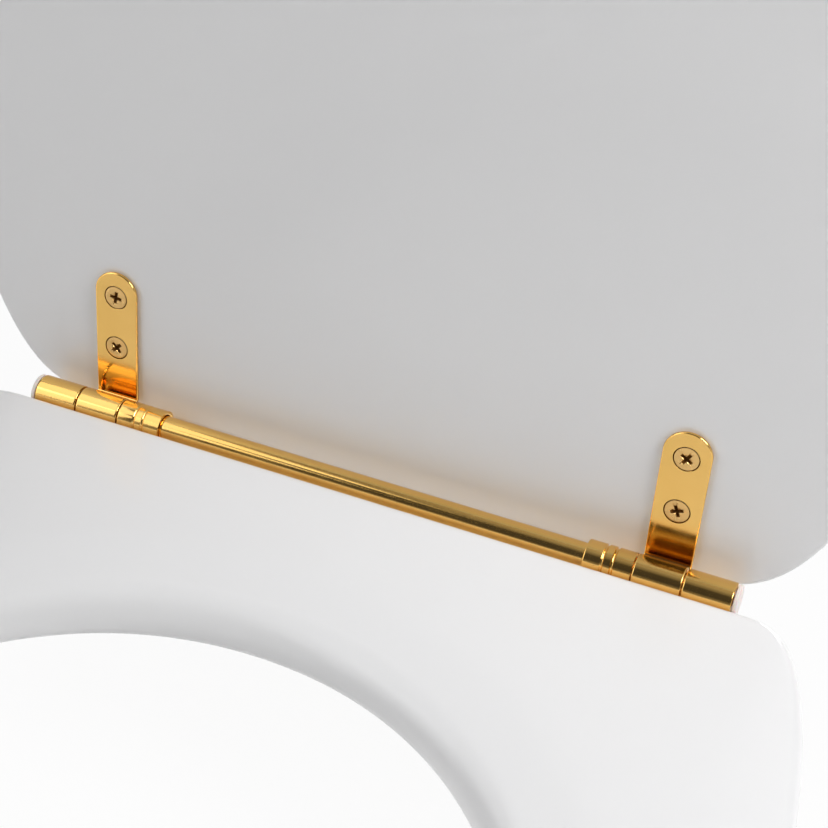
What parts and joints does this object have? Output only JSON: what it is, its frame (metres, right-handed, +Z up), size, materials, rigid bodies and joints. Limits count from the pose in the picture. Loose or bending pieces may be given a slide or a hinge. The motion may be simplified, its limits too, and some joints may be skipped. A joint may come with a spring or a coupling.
{
  "type": "toilet seat",
  "caption": "Contoured toilet seat with its lid open, both turning on a polished bar hinge that bolts to the pan through two posts.",
  "frame": {"origin": "midway between the two posts, on the top face of the pan that they stand on", "axes": "+X along the hinge to the right, -Y to the front of the seat, +Z up"},
  "size_m": [0.3216, 0.4488, 0.474],
  "materials": {
    "white_lacquer": "high-gloss white lacquer on moulded wood board",
    "polished_gold": "polished gold-coloured plating on brass",
    "gold_screw": "plated countersunk screws with a cross recess",
    "pale_nylon": "translucent pale nylon",
    "soft_buffer": "soft pale plastic",
    "dark_rubber": "black rubber",
    "zinc_steel": "zinc-plated steel"
  },
  "bodies": {
    "base": {"base_gasket_left": "dark_rubber", "base_gasket_right": "dark_rubber", "end_cap_left": "pale_nylon", "end_cap_right": "pale_nylon", "hinge_rod": "polished_gold", "lower_bush_left": "dark_rubber", "lower_bush_right": "dark_rubber", "post_left": "polished_gold", "post_right": "polished_gold", "post_stud_left": "zinc_steel", "post_stud_right": "zinc_steel", "steel_washer_left": "zinc_steel", "steel_washer_right": "zinc_steel", "wing_nut_left": "zinc_steel", "wing_nut_right": "zinc_steel"},
    "seat": {"seat_buffer_front_left": "soft_buffer", "seat_buffer_front_right": "soft_buffer", "seat_buffer_rear_left": "soft_buffer", "seat_buffer_rear_right": "soft_buffer", "seat_leaf_left": "polished_gold", "seat_leaf_right": "polished_gold", "seat_ring": "white_lacquer", "seat_screw_left_front": "gold_screw", "seat_screw_left_rear": "gold_screw", "seat_screw_right_front": "gold_screw", "seat_screw_right_rear": "gold_screw"},
    "lid": {"lid_board": "white_lacquer", "lid_buffer_front_left": "soft_buffer", "lid_buffer_front_right": "soft_buffer", "lid_buffer_side_left": "soft_buffer", "lid_buffer_side_right": "soft_buffer", "lid_leaf_left": "polished_gold", "lid_leaf_right": "polished_gold", "lid_screw_left_lower": "gold_screw", "lid_screw_left_upper": "gold_screw", "lid_screw_right_lower": "gold_screw", "lid_screw_right_upper": "gold_screw"}
  },
  "joints": [
    {"name": "seat_hinge", "type": "hinge", "parent": "base", "child": "seat", "pos_m": [0, 0, 0.025], "axis": [-1, 0, 0], "range_deg": [0, 45]},
    {"name": "lid_hinge", "type": "hinge", "parent": "seat", "child": "lid", "pos_m": [0, 0, 0.025], "axis": [-1, 0, 0], "range_deg": [-93, 0]}
  ]
}
